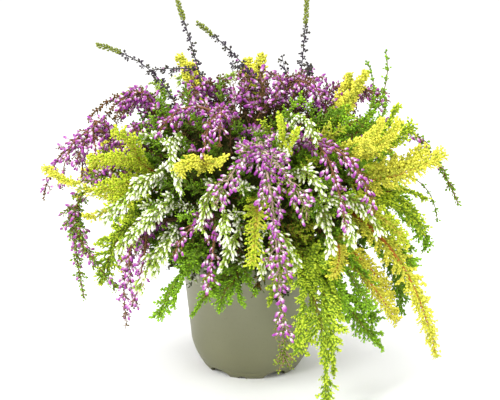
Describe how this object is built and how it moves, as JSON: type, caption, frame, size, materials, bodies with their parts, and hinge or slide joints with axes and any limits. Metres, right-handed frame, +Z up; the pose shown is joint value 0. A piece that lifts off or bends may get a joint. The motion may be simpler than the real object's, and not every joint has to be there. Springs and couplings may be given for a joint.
{
  "type": "potted heather",
  "caption": "Round bushy heather with purple and white bud sprays and golden and green foliage, in a tapering round plastic plant pot.",
  "frame": {"origin": "on the surface that the pot stands on, under the pot's middle", "axes": "+Z up along the pot's axis, -Y towards the side the picture shows, +X along the widest spread of the sprays"},
  "size_m": [0.355, 0.3121, 0.3181],
  "materials": {
    "sage_plastic": "satin",
    "peat_compost": "matte",
    "purple_buds": "satin",
    "dark_shoots": "matte",
    "white_buds": "satin",
    "golden_foliage": "satin",
    "green_foliage": "satin",
    "olive_foliage": "matte",
    "lime_foliage": "matte",
    "gold_green_foliage": "matte"
  },
  "bodies": {
    "root": {"compost": "peat_compost", "golden_back_03": "golden_foliage", "golden_back_09": "golden_foliage", "golden_back_12": "golden_foliage", "golden_fall_right": "golden_foliage", "golden_front": "golden_foliage", "golden_front_left": "golden_foliage", "golden_heather_crown": "gold_green_foliage", "golden_left": "golden_foliage", "golden_low_right": "golden_foliage", "golden_reach_left": "golden_foliage", "golden_reach_right": "golden_foliage", "golden_right_up": "golden_foliage", "golden_skirt": "golden_foliage", "golden_tip_left": "golden_foliage", "golden_tip_right": "golden_foliage", "golden_tip_top": "golden_foliage", "green_back_01": "green_foliage", "green_back_06": "green_foliage", "green_fall_right": "green_foliage", "green_hang_right": "green_foliage", "green_left": "green_foliage", "green_low_left": "green_foliage", "green_low_right": "green_foliage", "green_skirt": "green_foliage", "green_thin_right": "green_foliage", "green_tip_right": "green_foliage", "pot": "sage_plastic", "purple_arch_left": "purple_buds", "purple_arch_right": "purple_buds", "purple_back_02": "purple_buds", "purple_back_05": "purple_buds", "purple_back_07": "purple_buds", "purple_back_10": "purple_buds", "purple_front_fall": "purple_buds", "purple_hang_left": "purple_buds", "purple_heather_crown": "olive_foliage", "purple_low_left": "purple_buds", "purple_reach_left": "purple_buds", "purple_reach_right": "purple_buds", "purple_right_fall": "purple_buds", "purple_shoot_tall_left": "dark_shoots", "purple_shoot_tall_middle": "dark_shoots", "purple_shoot_tall_right": "dark_shoots", "purple_shoot_wand_left": "dark_shoots", "purple_skirt": "purple_buds", "purple_top_front": "purple_buds", "white_back_04": "white_buds", "white_back_08": "white_buds", "white_back_11": "white_buds", "white_centre_left": "white_buds", "white_front": "white_buds", "white_heather_crown": "lime_foliage", "white_left_high": "white_buds", "white_left_mid": "white_buds", "white_low_left": "white_buds", "white_right_high": "white_buds", "white_right_mid": "white_buds", "white_top_left": "white_buds", "white_top_right": "white_buds"}
  },
  "joints": []
}
